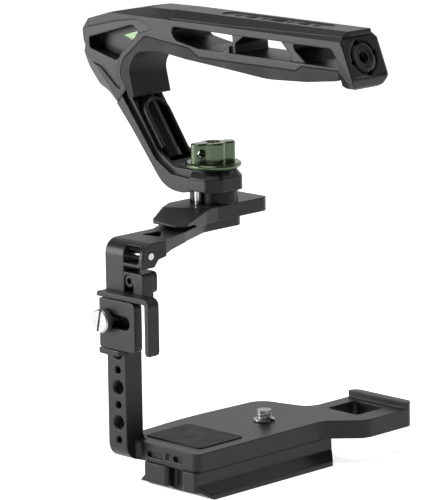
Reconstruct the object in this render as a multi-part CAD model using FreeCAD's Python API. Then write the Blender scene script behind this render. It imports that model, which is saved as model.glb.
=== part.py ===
import FreeCAD, Part

import math
import os

# Half cage with a top handle, in millimetres.
# The drawing datum is the cage's left face (X = 0), the rear face of the side bar (Y = 0)
# and the surface that the cage stands on (Z = 0). X runs to the right seen from behind,
# Y runs forward along the lens and Z runs up. Every piece is moved at the end, so that the
# part's own origin is the middle of the dovetail's underside.

# Side bar and its tapped holes
BAR_THICKNESS = 9.4
BAR_DEPTH = 10.8
CAGE_TOP = 105.4
CAGE_CORNER_RADIUS = 6.0
HOLE_LINE_Y = 4.7
HOLE_PITCH = 15.0
FIRST_QUARTER_INCH_Z = 27.9
FIRST_SMALL_HOLE_Z = 20.4
QUARTER_INCH_TAP_R = 2.65
SMALL_HOLE_R = 1.5

# Head with the strap slot
HEAD_REAR_Y = -11.2
HEAD_BOTTOM = 95.1
HEAD_RIGHT_X = 9.4
STRAP_SLOT = (-9.3, 3.1, 96.8, 104.0)
STRAP_PIN_X = 5.1
STRAP_PIN_Z = 100.0
STRAP_PIN_R = 1.0

# Base tray
BASE_BOTTOM = 11.6
BASE_TOP = 19.5
BASE_LEFT_X = 6.5
BASE_REAR_Y = -34.9
GRIP_REAR_Y = -48.0
GRIP_RIGHT_X = 124.5
LIP_TOP = 22.4
LIP_THICKNESS = 4.2
BOW_X = 48.0  # where the tray's front edge stands out furthest
BOW_DEPTH = 2.5
CAMERA_SCREW_X = 65.5
CAMERA_SCREW_Y = -16.0

# Dovetail plate, 38 mm across its foot
PLATE_LEFT_X = 5.5
PLATE_RIGHT_X = 87.4
DOVETAIL_WIDTH = 38.0
DOVETAIL_LIP = 2.1
DOVETAIL_SLOPE = 3.9
PLATE_FRONT_Y = -0.8
PLATE_MIDDLE_Y = PLATE_FRONT_Y - DOVETAIL_WIDTH / 2

# Handle platform
PLATFORM_TOP = 111.4
FOOT_X = 65.5
FOOT_Y = 12.5
PIN_SPACING = 19.6

# Handle
HANDLE_WIDTH = 22.0
HANDLE_LEFT_X = FOOT_X - HANDLE_WIDTH / 2
HANDLE_RIGHT_X = FOOT_X + HANDLE_WIDTH / 2
HANDLE_TOP = 193.0
TOP_BEVEL = 4.3
SEAM_FRONT_Z = 189.0
SEAM_REAR_Z = 190.8
COVER_FRONT_Y = 27.3
COVER_REAR_Y = -70.2
FOOT_BOTTOM = 117.0
FOOT_TOP = 125.5
WASHER_THICKNESS = 0.6
STRUT_RECESS = 1.2
SEAM_GROOVE = 0.5
NECK_STEP = 2.0
TAPPED_DEPTH_Z = 186.4

# Knob
FLANGE_BOTTOM = 126.4
FLANGE_TOP = 128.5
KNOB_TOP = 136.9
FLANGE_R = 12.1
WING_ANGLE = -19.0
WING_REACH = 7.2
WING_TIP_R = 3.0
STUD_R = 4.7

# Cable clamp
CLAMP_SCREW_Z = FIRST_QUARTER_INCH_Z + 3 * HOLE_PITCH
CLAMP_OUTER_X = -6.0
JAW_BACK_X = -1.8
CLAMP_SHANK_R = 2.55

ORIGIN = FreeCAD.Vector((PLATE_LEFT_X + PLATE_RIGHT_X) / 2, PLATE_MIDDLE_Y, 0)


def point_x(x):
    return lambda u, v: FreeCAD.Vector(x, u, v)


def point_y(y):
    return lambda u, v: FreeCAD.Vector(u, y, v)


def point_z(z):
    return lambda u, v: FreeCAD.Vector(u, v, z)


def rounded_wire(corners, place):
    """Closed wire through corners (u, v) or (u, v, radius), each rounded by its radius."""
    count = len(corners)
    edges = []
    starts = []
    ends = []
    middles = []
    for index, corner in enumerate(corners):
        here = FreeCAD.Vector(corner[0], corner[1], 0)
        before = FreeCAD.Vector(*corners[index - 1][:2], 0)
        after = FreeCAD.Vector(*corners[(index + 1) % count][:2], 0)
        radius = corner[2] if len(corner) > 2 else 0
        if radius == 0:
            starts.append(here)
            ends.append(here)
            middles.append(None)
            continue
        back = (before - here).normalize()
        ahead = (after - here).normalize()
        half = back.getAngle(ahead) / 2
        reach = radius / math.tan(half)
        inward = (back + ahead).normalize()
        centre = here + inward * (radius / math.sin(half))
        starts.append(here + back * reach)
        ends.append(here + ahead * reach)
        middles.append(centre - inward * radius)
    for index in range(count):
        start, end, middle = starts[index], ends[index], middles[index]
        if middle is not None:
            edges.append(Part.Arc(place(start.x, start.y), place(middle.x, middle.y),
                                  place(end.x, end.y)).toShape())
        following = starts[(index + 1) % count]
        if (following - end).Length > 1e-4:
            edges.append(Part.LineSegment(place(end.x, end.y), place(following.x, following.y)).toShape())
    return Part.Wire(edges)


def slab_x(corners, x0, x1):
    """Outline of (y, z) corners drawn through from x0 to x1."""
    face = Part.Face(rounded_wire(corners, point_x(x0)))
    return face.extrude(FreeCAD.Vector(x1 - x0, 0, 0))


def slab_y(corners, y0, y1):
    """Outline of (x, z) corners drawn through from y0 to y1."""
    face = Part.Face(rounded_wire(corners, point_y(y0)))
    return face.extrude(FreeCAD.Vector(0, y1 - y0, 0))


def slab_z(corners, z0, z1):
    """Outline of (x, y) corners drawn through from z0 to z1."""
    face = Part.Face(rounded_wire(corners, point_z(z0)))
    return face.extrude(FreeCAD.Vector(0, 0, z1 - z0))


def box(x0, x1, y0, y1, z0, z1):
    return Part.makeBox(x1 - x0, y1 - y0, z1 - z0, FreeCAD.Vector(x0, y0, z0))


def rod(start, direction, radius, length):
    return Part.makeCylinder(radius, length, FreeCAD.Vector(*start), FreeCAD.Vector(*direction))


def taper(start, direction, radius, end_radius, length):
    return Part.makeCone(radius, end_radius, length, FreeCAD.Vector(*start), FreeCAD.Vector(*direction))


def obround(centre_u, centre_v, length, width):
    """Corners of a slot lying along u."""
    half, rounding = length / 2, width / 2
    return [(centre_u - half, centre_v - rounding, rounding * 0.999),
            (centre_u + half, centre_v - rounding, rounding * 0.999),
            (centre_u + half, centre_v + rounding, rounding * 0.999),
            (centre_u - half, centre_v + rounding, rounding * 0.999)]


def soften(shape, size, keep):
    """Chamfer the edges whose middle point passes the test."""
    edges = [edge for edge in shape.Edges if keep(edge.CenterOfMass)]
    return shape.makeChamfer(size, edges)


def countersunk_hole_x(y, z, x0, x1, radius, mouth_radius):
    """Hole along X from x0 to x1 with a small chamfer at both mouths."""
    depth = mouth_radius - radius
    hole = rod((x0, y, z), (1, 0, 0), radius, x1 - x0)
    hole = hole.fuse(taper((x0, y, z), (1, 0, 0), mouth_radius, radius, depth))
    return hole.fuse(taper((x1, y, z), (-1, 0, 0), mouth_radius, radius, depth))


def hex_prism(centre, direction, across_flats, length):
    """Hexagonal socket or key drawn from centre along direction."""
    corner = across_flats / math.sqrt(3)
    axis = FreeCAD.Vector(*direction).normalize()
    side = axis.cross(FreeCAD.Vector(1, 0, 0))
    if side.Length < 0.1:
        side = axis.cross(FreeCAD.Vector(0, 1, 0))
    side.normalize()
    other = axis.cross(side)
    middle = FreeCAD.Vector(*centre)
    points = []
    for step in range(7):
        angle = math.radians(60 * step)
        points.append(middle + side * (corner * math.cos(angle)) + other * (corner * math.sin(angle)))
    return Part.Face(Part.makePolygon(points)).extrude(axis * length)


def save(node, *shapes):
    """Write one node, moved from the drawing datum to the part's origin."""
    shape = shapes[0] if len(shapes) == 1 else Part.makeCompound(list(shapes))
    shape = shape.removeSplitter() if len(shapes) == 1 else shape
    shape.translate(ORIGIN * -1)
    for solid in shape.Solids:
        if not solid.isValid():
            raise ValueError(node + " is not a valid solid")
    print(f"{node:24s} solids {len(shape.Solids)}  volume {shape.Volume / 1000:8.3f} cm3")
    shape.exportStep("parts/" + node + ".step")


def bar_hole_heights(first, count):
    return [first + HOLE_PITCH * step for step in range(count)]


def base_tray():
    """Tray under the camera: cut back below the screen, wider below the grip, bowed out below the lens."""
    plan = [(BASE_LEFT_X, BAR_DEPTH, 1), (BASE_LEFT_X, BASE_REAR_Y, 3), (82.0, BASE_REAR_Y, 9),
            (95.0, GRIP_REAR_Y, 9), (GRIP_RIGHT_X, GRIP_REAR_Y, 3), (GRIP_RIGHT_X, -14.0, 4),
            (96.0, -14.0, 8), (90.0, BAR_DEPTH, 8), (BOW_X, BAR_DEPTH + BOW_DEPTH, 200), (14.0, BAR_DEPTH)]
    tray = slab_z(plan, BASE_BOTTOM, BASE_TOP)
    lip = slab_z([(GRIP_RIGHT_X - LIP_THICKNESS, GRIP_REAR_Y), (GRIP_RIGHT_X, GRIP_REAR_Y, 3), (GRIP_RIGHT_X, -14.0, 4),
                  (GRIP_RIGHT_X - LIP_THICKNESS, -14.0)], BASE_BOTTOM, LIP_TOP)
    tray = tray.fuse(lip)
    tray = tray.cut(slab_z([(99, -39, 2), (117, -39, 2), (117, -21, 2), (99, -21, 2)], BASE_BOTTOM, BASE_TOP))
    tray = tray.cut(slab_z([(14, -29, 2), (40, -29, 2), (40, 4, 2), (14, 4, 2)], BASE_TOP - 1.2, BASE_TOP))
    slots = [obround(-10.2, 15.1, 9.8, 2.6), obround(-23.8, 15.5, 6.0, 2.6)]
    for slot in slots:
        tray = tray.cut(slab_x(slot, BASE_LEFT_X - 1, BASE_LEFT_X + 1.4))
    tray = tray.cut(rod((BASE_LEFT_X - 1, -18.0, 15.6), (1, 0, 0), 1.6, 7))
    screw_hole = rod((CAMERA_SCREW_X, CAMERA_SCREW_Y, BASE_BOTTOM), (0, 0, 1), 3.4, BASE_TOP - BASE_BOTTOM)
    return tray.cut(screw_hole)


def side_upright():
    """Upright with its rounded lower corner and the lug that the cable clamp is screwed to."""
    profile = [(0, BASE_BOTTOM, 7), (0, CAGE_TOP, CAGE_CORNER_RADIUS), (BAR_THICKNESS, CAGE_TOP),
               (BAR_THICKNESS, BASE_TOP, 3), (14.0, BASE_TOP), (14.0, BASE_BOTTOM)]
    upright = slab_y(profile, 0, BAR_DEPTH)
    cove = slab_z([(0, 0), (BASE_LEFT_X, 0, 2.5), (BASE_LEFT_X, -4), (BASE_LEFT_X + 6, -4), (BASE_LEFT_X + 6, 2),
                   (0, 2)], BASE_BOTTOM, BASE_TOP)
    lug = slab_x([(0.5, 84.0), (HEAD_REAR_Y + 1, 84.0, 2), (HEAD_REAR_Y + 1, 93.0, 2), (0.5, 93.0)],
                 6.2, BAR_THICKNESS)
    corner = slab_y([(0, BASE_BOTTOM, 7), (0, 60), (14.0, 60), (14.0, BASE_BOTTOM)], -10, BAR_DEPTH)
    return upright.fuse([cove.common(corner), lug])


def strap_head():
    """Block at the top corner with the strap slot and the seat of the strap pin."""
    profile = [(0, HEAD_BOTTOM, 0.8), (0, CAGE_TOP, CAGE_CORNER_RADIUS), (14, CAGE_TOP), (14, 98.8),
               (HEAD_RIGHT_X, 98.0, 1.5), (7.2, HEAD_BOTTOM, 1.2)]
    head = slab_y(profile, HEAD_REAR_Y, BAR_DEPTH)
    y0, y1, z0, z1 = STRAP_SLOT
    slot = slab_x([(y0, z0, 2), (y1, z0, 2.5), (y1, z1, 3), (y0, z1, 2)], -1, 16)
    return head.cut(slot)


def shoulder_arm():
    """Arm that climbs from the head, over the camera's shoulder, to the handle platform."""
    plan = [(8.0, HEAD_REAR_Y), (9.6, HEAD_REAR_Y, 3), (31.0, -4.8, 8), (50.0, 3.0, 8), (74.0, 3.0, 4),
            (74.0, 22.0, 4), (48.0, 22.0, 8), (28.0, BAR_DEPTH, 8), (8.0, BAR_DEPTH)]
    side = [(8.0, CAGE_TOP), (8.0, 98.0), (10.0, 98.0), (20.0, 100.1, 10), (34.0, 101.2, 10),
            (80.0, 101.2), (80.0, CAGE_TOP)]
    arm = slab_z(plan, 90, 115).common(slab_y(side, -40, 40))
    arm = arm.cut(slab_z([(15.5, 5.5, 1.2), (17.5, -4.0, 1.2), (27.0, 4.5, 1.2)], CAGE_TOP - 2.5, CAGE_TOP))
    y0, y1, z0, z1 = STRAP_SLOT
    arm = arm.cut(slab_x([(y0, z0, 2), (y1, z0, 2.5), (y1, z1, 3), (y0, z1, 2)], -1, 14.1))
    return arm


def cage_frame():
    frame = base_tray().fuse([side_upright(), strap_head(), shoulder_arm()])
    for z in bar_hole_heights(FIRST_QUARTER_INCH_Z, 4):
        frame = frame.cut(countersunk_hole_x(HOLE_LINE_Y, z, 0, BAR_THICKNESS, QUARTER_INCH_TAP_R, 3.3))
    for z in bar_hole_heights(FIRST_SMALL_HOLE_Z, 5):
        frame = frame.cut(countersunk_hole_x(HOLE_LINE_Y, z, 0, BAR_THICKNESS + 5, SMALL_HOLE_R, 1.9))
    frame = frame.cut(rod((STRAP_PIN_X, HEAD_REAR_Y, STRAP_PIN_Z), (0, 1, 0), STRAP_PIN_R + 0.1, 18.2))
    frame = frame.cut(rod((STRAP_PIN_X, HEAD_REAR_Y, STRAP_PIN_Z), (0, 1, 0), 1.6, 0.8))
    frame = frame.cut(rod((0, -2.9, 89.2), (1, 0, 0), 1.3, 12))
    for x, y in platform_screw_places():
        frame = frame.cut(rod((x, y, 101), (0, 0, 1), 1.7, 6))
        frame = frame.cut(rod((x, y, 101), (0, 0, 1), 3.0, 2.2))
    for x, y in plate_screw_places():
        frame = frame.cut(rod((x, y, BASE_BOTTOM), (0, 0, 1), 1.6, 6))
    return frame.cut(rod((FOOT_X, FOOT_Y, 101), (0, 0, 1), STUD_R + 0.3, 6))


def platform_screw_places():
    return [(46.0, 9.0), (46.0, 17.0)]


def plate_screw_places():
    return [(x, y) for x in (22.0, 80.0) for y in (PLATE_MIDDLE_Y - 9, PLATE_MIDDLE_Y + 9)]


def top_platform():
    """Flared platform under the handle's foot, sloped down to the left."""
    plan = [(28.0, 11.5, 2), (28.0, -3.0, 2), (32.3, -5.2, 2), (49.0, 0.3, 4), (57.0, 1.6, 6), (86.0, 1.6, 4),
            (92.0, 7.5, 3), (92.0, 17.5, 3), (86.0, 24.0, 4), (50.0, 24.0, 5)]
    side = [(20.0, 107.4), (38.0, 107.4, 2), (42.0, CAGE_TOP, 2), (96.0, CAGE_TOP), (96.0, 107.6),
            (87.5, PLATFORM_TOP), (20.0, PLATFORM_TOP)]
    platform = slab_z(plan, 100, 120).common(slab_y(side, -20, 40))
    platform = cut_beyond(platform, (42.6, 17.3, PLATFORM_TOP), (52.0, 0.3, PLATFORM_TOP), (27.4, -2.7, 107.9),
                          (20.0, 0.0, 130.0))
    platform = platform.cut(rod((FOOT_X, FOOT_Y, 100), (0, 0, 1), STUD_R + 0.15, 20))
    for side_sign in (-1, 1):
        x = FOOT_X + side_sign * PIN_SPACING / 2
        platform = platform.cut(rod((x, FOOT_Y, 108.0), (0, 0, 1), 1.35, 5))
    for x, y in platform_screw_places():
        platform = platform.cut(rod((x, y, 100), (0, 0, 1), 1.6, 9))
    return platform


def socket_screw(head, direction, head_r, head_length, shank_r, shank_length, key):
    """Socket-head cap screw; head is the middle of the head's outer face."""
    axis = FreeCAD.Vector(*direction).normalize()
    top = FreeCAD.Vector(*head)
    screw = Part.makeCylinder(head_r, head_length, top, axis)
    screw = screw.fuse(Part.makeCylinder(shank_r, head_length + shank_length, top, axis))
    return screw.cut(hex_prism(head, direction, key, head_length * 0.6))


def platform_screws():
    return [socket_screw((x, y, 101.3), (0, 0, 1), 2.9, 1.85, 1.5, 4.5, 2.5) for x, y in platform_screw_places()]


def dovetail_plate():
    """Quick-release plate with 45 degree dovetail edges, notched and ramped at its left end."""
    riser = DOVETAIL_LIP + DOVETAIL_SLOPE
    rear_y = PLATE_FRONT_Y - DOVETAIL_WIDTH
    section = [(rear_y, 0), (PLATE_FRONT_Y, 0), (PLATE_FRONT_Y, DOVETAIL_LIP),
               (PLATE_FRONT_Y - DOVETAIL_SLOPE, riser), (PLATE_FRONT_Y - DOVETAIL_SLOPE, BASE_BOTTOM),
               (rear_y + DOVETAIL_SLOPE, BASE_BOTTOM), (rear_y + DOVETAIL_SLOPE, riser), (rear_y, DOVETAIL_LIP)]
    plate = slab_x(section, PLATE_LEFT_X, PLATE_RIGHT_X)
    plan = [(PLATE_LEFT_X, PLATE_FRONT_Y - 1, 2), (PLATE_LEFT_X, -18.0, 2), (10.5, -18.0, 1.5),
            (10.5, -26.0, 1.5), (PLATE_LEFT_X, -26.0, 2), (PLATE_LEFT_X, rear_y + 4.5, 2), (12.5, rear_y - 0.5, 2),
            (PLATE_RIGHT_X - 4, rear_y - 0.5, 3), (PLATE_RIGHT_X, rear_y + 4, 3), (PLATE_RIGHT_X, -4.8, 3),
            (PLATE_RIGHT_X - 4, PLATE_FRONT_Y + 0.5, 3), (9.5, PLATE_FRONT_Y + 0.5, 3)]
    plate = plate.common(slab_z(plan, -1, 20))
    ramp = slab_y([(PLATE_LEFT_X - 1, -1), (PLATE_LEFT_X - 1, 3.4), (PLATE_LEFT_X + 2, 3.0), (12.5, -0.001),
                   (12.5, -1)], -45, 5)
    plate = plate.cut(ramp)
    plate = plate.cut(slab_z(obround(CAMERA_SCREW_X, CAMERA_SCREW_Y, 22, 16), -1, 6.2))
    plate = plate.cut(rod((CAMERA_SCREW_X, CAMERA_SCREW_Y, 0), (0, 0, 1), 3.4, 20))
    plate = plate.cut(slab_z(obround(34.0, PLATE_MIDDLE_Y, 14, 6), -1, BASE_BOTTOM - 3))
    for x, y in plate_screw_places():
        plate = plate.cut(rod((x, y, -1), (0, 0, 1), 1.6, 20))
        plate = plate.cut(rod((x, y, -1), (0, 0, 1), 2.9, 4.2))
    return plate


def plate_screws():
    return [socket_screw((x, y, 1.0), (0, 0, 1), 2.8, 2.2, 1.45, 13.5, 2.5) for x, y in plate_screw_places()]


def camera_screw():
    """Quarter-inch camera screw with a knurled head and a coin slot."""
    head = rod((CAMERA_SCREW_X, CAMERA_SCREW_Y, 1.6), (0, 0, 1), 7.2, 4.0)
    head = soften(head, 0.5, lambda c: c.z < 1.7)
    shank = rod((CAMERA_SCREW_X, CAMERA_SCREW_Y, 4.0), (0, 0, 1), 3.1, 20.5)
    screw = head.fuse(shank)
    slot = box(CAMERA_SCREW_X - 8, CAMERA_SCREW_X + 8, CAMERA_SCREW_Y - 0.9, CAMERA_SCREW_Y + 0.9, 1.0, 3.2)
    groove = rod((CAMERA_SCREW_X, CAMERA_SCREW_Y, BASE_TOP + 0.3), (0, 0, 1), 5, 0.8)
    groove = groove.cut(rod((CAMERA_SCREW_X, CAMERA_SCREW_Y, BASE_TOP), (0, 0, 1), 2.6, 2))
    for turn in range(20):
        angle = math.radians(360 / 20 * turn)
        x = CAMERA_SCREW_X + 7.4 * math.cos(angle)
        y = CAMERA_SCREW_Y + 7.4 * math.sin(angle)
        screw = screw.cut(rod((x, y, 0), (0, 0, 1), 0.55, 8))
    return screw.cut([slot, groove])


def camera_screw_clip():
    """Retaining ring that keeps the camera screw in the base."""
    ring = rod((CAMERA_SCREW_X, CAMERA_SCREW_Y, BASE_TOP + 0.35), (0, 0, 1), 4.6, 0.7)
    ring = ring.cut(rod((CAMERA_SCREW_X, CAMERA_SCREW_Y, BASE_TOP), (0, 0, 1), 2.6, 2))
    return ring.cut(box(CAMERA_SCREW_X - 1.8, CAMERA_SCREW_X + 1.8, CAMERA_SCREW_Y - 6, CAMERA_SCREW_Y,
                        BASE_TOP, BASE_TOP + 2))


def base_pad():
    """Rubber pad let into the tray, so that the camera isn't scratched."""
    return slab_z([(14.1, -28.9, 2), (39.9, -28.9, 2), (39.9, 3.9, 2), (14.1, 3.9, 2)], BASE_TOP - 1.2, BASE_TOP + 0.4)


def strap_pin():
    pin = rod((STRAP_PIN_X, HEAD_REAR_Y, STRAP_PIN_Z), (0, 1, 0), STRAP_PIN_R, 18)
    return pin.fuse(rod((STRAP_PIN_X, HEAD_REAR_Y - 0.2, STRAP_PIN_Z), (0, 1, 0), 1.5, 0.95))


def clamp_bracket():
    """Cable-clamp bracket: block behind the bar, rail, leg and lower lip in front of it."""
    block = box(0, 6.2, HEAD_REAR_Y, 0, 82.6, 93.0)
    block = soften(block, 0.8, lambda c: abs(c.y - HEAD_REAR_Y) < 0.01 and abs(c.x) < 3.2 and c.z > 92.9)
    rail = slab_x([(10.2, 82.4), (10.2, 84.6, 1), (-20.6, 84.6, 3), (-20.6, 60.6, 1), (-18.2, 60.6),
                   (-18.2, 82.4, 1)], CLAMP_OUTER_X, 0)
    leg_foot = slab_y([(CLAMP_OUTER_X, 60.0, 2.5), (CLAMP_OUTER_X, 90), (0, 90), (0, 60.0, 2.5)], -22, 12)
    back = slab_x([(9.2, 58.2, 1), (9.2, 83.0), (-9.0, 83.0), (-9.0, 62.0, 2), (-2.5, 58.2, 1)], JAW_BACK_X + 0.3, 0)
    lip = slab_x([(9.2, 58.2, 1), (9.2, 60.6), (-2.5, 60.6), (-2.5, 58.2)], CLAMP_OUTER_X, 0)
    bracket = rail.common(leg_foot).fuse([block, back, lip])
    recess = slab_x([(-0.2, 80.0), (-0.2, 92.0, 2.7), (-5.7, 92.0, 2.7), (-5.7, 80.0)], -8, 3.2)
    bracket = bracket.cut(recess.common(box(-1, 4, -12, 0, 84.6, 93)))
    bracket = bracket.cut(rod((0, -2.9, 89.2), (1, 0, 0), 1.6, 8))
    return bracket.cut(rod((-8, HOLE_LINE_Y, CLAMP_SCREW_Z), (1, 0, 0), CLAMP_SHANK_R + 0.4, 9))


def clamp_bracket_screw():
    return socket_screw((0.4, -2.9, 89.2), (1, 0, 0), 2.55, 2.8, 1.25, 5.6, 2.4)


def clamp_jaw():
    """Sliding jaw with its long slot, closed on the cable gap."""
    outline = [(8.7, 61.0, 1), (8.7, 82.0, 1), (-12.3, 82.0, 2.2), (-12.3, 61.0, 2.2)]
    jaw = slab_x(outline, CLAMP_OUTER_X, JAW_BACK_X)
    slot = slab_x(obround(-0.9, CLAMP_SCREW_Z, 16.8, 5.8), CLAMP_OUTER_X - 1, JAW_BACK_X + 1)
    return jaw.cut(slot)


def clamp_screw():
    """Slotted thumbscrew of the cable clamp."""
    centre = (CLAMP_OUTER_X - 4.2, HOLE_LINE_Y, CLAMP_SCREW_Z)
    head = rod(centre, (1, 0, 0), 5.0, 3.2)
    head = soften(head, 0.6, lambda c: c.x < CLAMP_OUTER_X - 4.1)
    neck = taper((CLAMP_OUTER_X - 1.0, HOLE_LINE_Y, CLAMP_SCREW_Z), (1, 0, 0), 4.4, 3.6, 0.7)
    shank = rod((CLAMP_OUTER_X - 2, HOLE_LINE_Y, CLAMP_SCREW_Z), (1, 0, 0), CLAMP_SHANK_R, 14.0)
    screw = head.fuse([neck, shank])
    for turn in range(24):
        angle = math.radians(15 * turn)
        y = HOLE_LINE_Y + 5.2 * math.cos(angle)
        z = CLAMP_SCREW_Z + 5.2 * math.sin(angle)
        screw = screw.cut(rod((CLAMP_OUTER_X - 3.5, y, z), (1, 0, 0), 0.45, 2.6))
    slot = box(CLAMP_OUTER_X - 5, CLAMP_OUTER_X - 2.8, -6, 6, -0.55, 0.55)
    slot.rotate(FreeCAD.Vector(0, 0, 0), FreeCAD.Vector(1, 0, 0), 102)
    slot.translate(FreeCAD.Vector(0, HOLE_LINE_Y, CLAMP_SCREW_Z))
    return screw.cut(slot)


def cut_beyond(shape, a, b, c, outside):
    """Cut away what lies beyond the plane through a, b and c, on the side of the point outside."""
    a, b, c, outside = (FreeCAD.Vector(*point) for point in (a, b, c, outside))
    normal = (b - a).cross(c - a).normalize()
    if normal.dot(outside - a) < 0:
        normal = normal * -1
    sheet = Part.makePlane(200, 200, FreeCAD.Vector(-100, -100, 0))
    sheet.Placement = FreeCAD.Placement(a, FreeCAD.Rotation(FreeCAD.Vector(0, 0, 1), normal))
    return shape.cut(sheet.extrude(normal * 40))


def nose_chamfers(shape):
    """Wide chamfers along the nose's front and lower edges, narrowing towards the neck."""
    for face_x, inward in ((HANDLE_LEFT_X, 1), (HANDLE_RIGHT_X, -1)):
        lower = [(face_x, 60.4, 152.2), (face_x, 80.6, 173.4), (face_x + 4.2 * inward, 79.6, 161.0)]
        tip = [(face_x, 79.8, 173.4), (face_x, 77.2, 183.0), (face_x + 3.2 * inward, 84.0, 179.6)]
        shape = cut_beyond(shape, *lower, (face_x - 10 * inward, 90.0, 140.0))
        shape = cut_beyond(shape, *tip, (face_x - 10 * inward, 120.0, 180.0))
    return shape


def handle_side_bevel(shape):
    """Cut the wide bevels along both upper sides of the handle."""
    section = [(HANDLE_LEFT_X - 1, 100), (HANDLE_LEFT_X - 1, 187.6), (HANDLE_LEFT_X, 189.0),
               (HANDLE_LEFT_X + TOP_BEVEL, HANDLE_TOP), (HANDLE_RIGHT_X - TOP_BEVEL, HANDLE_TOP),
               (HANDLE_RIGHT_X, 189.0), (HANDLE_RIGHT_X + 1, 187.6), (HANDLE_RIGHT_X + 1, 100)]
    return shape.common(slab_y(section, -120, 120))


def handle_window_outlines():
    """Through windows of the handle's side, from front to rear, as (y, z) corners."""
    front = [(26.6, 186.4, 2), (-9.8, 186.2, 1.5), (-9.8, 181.8, 1), (-4.2, 178.4, 0.5), (10.0, 178.4, 6),
             (23.5, 180.6, 4)]
    middle = [(-16.6, 186.2, 0.8), (-11.2, 182.6, 2), (-11.6, 178.4, 0.5), (-43.6, 178.4, 0.5),
              (-43.6, 180.6, 1), (-37.6, 186.2, 0.5)]
    rear = [(-45.0, 186.0, 0.6), (-45.2, 183.4, 2), (-52.0, 178.3, 0.5), (-69.4, 178.3, 1.5), (-70.6, 181.6, 1),
            (-67.6, 186.0, 3)]
    return [front, middle, rear]


def handle_frame():
    """Machined upper frame: nose, truss sides and rear boss."""
    outline = [(84.3, 179.6, 0.6), (77.6, 184.9, 3), (61.1, 189.6, 40), (44.0, 192.6, 30), (20.0, HANDLE_TOP),
               (-70.6, HANDLE_TOP, 1), (-78.6, 174.0, 3), (-77.4, 169.4, 2.5), (-71.9, 169.2, 2), (-71.6, 177.3, 1),
               (-50.6, 177.2, 1), (-47.2, 175.0, 1), (9.4, 174.9, 1), (15.0, 178.2, 1), (42.0, 180.8, 4),
               (55.0, 169.8, 4), (58.2, 163.6, 6), (53.9, 156.4, 0.5), (59.9, 149.9, 0.5), (66.0, 154.2, 8),
               (74.6, 156.2, 6), (80.6, 163.0, 8), (81.6, 169.6, 0.8), (79.4, 172.6, 3)]
    frame = handle_side_bevel(slab_x(outline, HANDLE_LEFT_X, HANDLE_RIGHT_X))
    cover_bed = slab_x([(COVER_FRONT_Y, SEAM_FRONT_Z), (COVER_FRONT_Y, 200), (-90, 200), (-90, SEAM_REAR_Z + 1),
                        (COVER_REAR_Y, SEAM_REAR_Z)], HANDLE_LEFT_X - 1, HANDLE_RIGHT_X + 1)
    frame = frame.cut(cover_bed.common(cover_outline_prism()))
    for y, radius in cover_hole_places():
        if radius > SMALL_HOLE_R:
            frame = frame.cut(rod((FOOT_X, y, TAPPED_DEPTH_Z), (0, 0, 1), radius, 10))
    for outline in handle_window_outlines():
        frame = frame.cut(slab_x(outline, HANDLE_LEFT_X - 1, HANDLE_RIGHT_X + 1))
    for x0, x1 in ((HANDLE_LEFT_X - 1, HANDLE_LEFT_X + STRUT_RECESS), (HANDLE_RIGHT_X - STRUT_RECESS, HANDLE_RIGHT_X + 1)):
        frame = frame.cut(slab_x([(-9.0, 186.2), (-9.0, 178.4), (-52.0, 178.4), (-46.0, 186.2)], x0, x1))
    for face_x, inward in ((HANDLE_LEFT_X, 1), (HANDLE_RIGHT_X, -1)):
        frame = frame.cut(slab_x(nose_window_outline(), face_x - inward, face_x + 7.5 * inward))
        frame = frame.cut(slab_x(nose_side_outline(), face_x - inward, face_x + 0.9 * inward))
    frame = nose_chamfers(frame)
    return rear_boss_cuts(frame).cut(neck_tenon_shape(0.0))


def nose_window_outline():
    return [(77.4, 176.9, 1), (49.6, 184.9, 3.2), (46.2, 181.0, 2), (60.6, 168.2, 3), (77.4, 172.2, 1.5)]


def nose_side_outline():
    """Shallow recess of the nose's side, between its upper and lower edges."""
    return [(90.0, 178.6), (60.0, 185.6, 20), (47.0, 187.6, 3), (37.0, 184.4, 0.6), (41.5, 182.6, 2), (46.5, 181.4, 3),
            (57.0, 171.6, 4), (60.5, 163.6, 6), (57.0, 155.6, 0.5), (60.4, 157.0), (70.0, 164.8, 12), (90.0, 169.8)]


def rear_face_frame():
    """Middle and outward direction of the slanted rear face."""
    slope = math.atan2(78.6 - 70.6, HANDLE_TOP - 174.0)
    middle = FreeCAD.Vector(FOOT_X, -75.2, 182.0)
    outward = FreeCAD.Vector(0, -math.cos(slope), math.sin(slope))
    return middle, outward


def rear_boss_cuts(frame):
    """Ring recess, thread-insert bore and four locating holes in the rear face."""
    middle, outward = rear_face_frame()
    inward = outward * -1
    start = middle + outward * 1.0
    recess = Part.makeCylinder(7.6, 2.2, start, inward)
    recess = recess.cut(Part.makeCylinder(6.2, 2.2, start, inward))
    bore = Part.makeCylinder(4.4, 5.2, start, inward)
    across = FreeCAD.Vector(1, 0, 0)
    up = outward.cross(across)
    cuts = [recess, bore]
    for step in range(4):
        angle = math.radians(90 * step + 12)
        place = start + across * (6.9 * math.cos(angle)) + up * (6.9 * math.sin(angle))
        cuts.append(Part.makeCylinder(1.35, 4.0, place, inward))
    return frame.cut(cuts)


def rear_insert():
    """Steel quarter-inch thread insert in the rear face."""
    middle, outward = rear_face_frame()
    inward = outward * -1
    insert = Part.makeCylinder(4.3, 4.0, middle - outward * 0.2, inward)
    return insert.cut(Part.makeCylinder(QUARTER_INCH_TAP_R, 9.0, middle + outward * 0.5, inward))


def front_insert():
    """Green anodised block that shows in the nose's window."""
    block = slab_x([(50.4, 181.7, 0.5), (47.6, 180.9), (52.4, 176.6, 0.5), (60.2, 178.9, 0.3)],
                   HANDLE_LEFT_X + 4.5, HANDLE_LEFT_X + 7.5)
    return block


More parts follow.
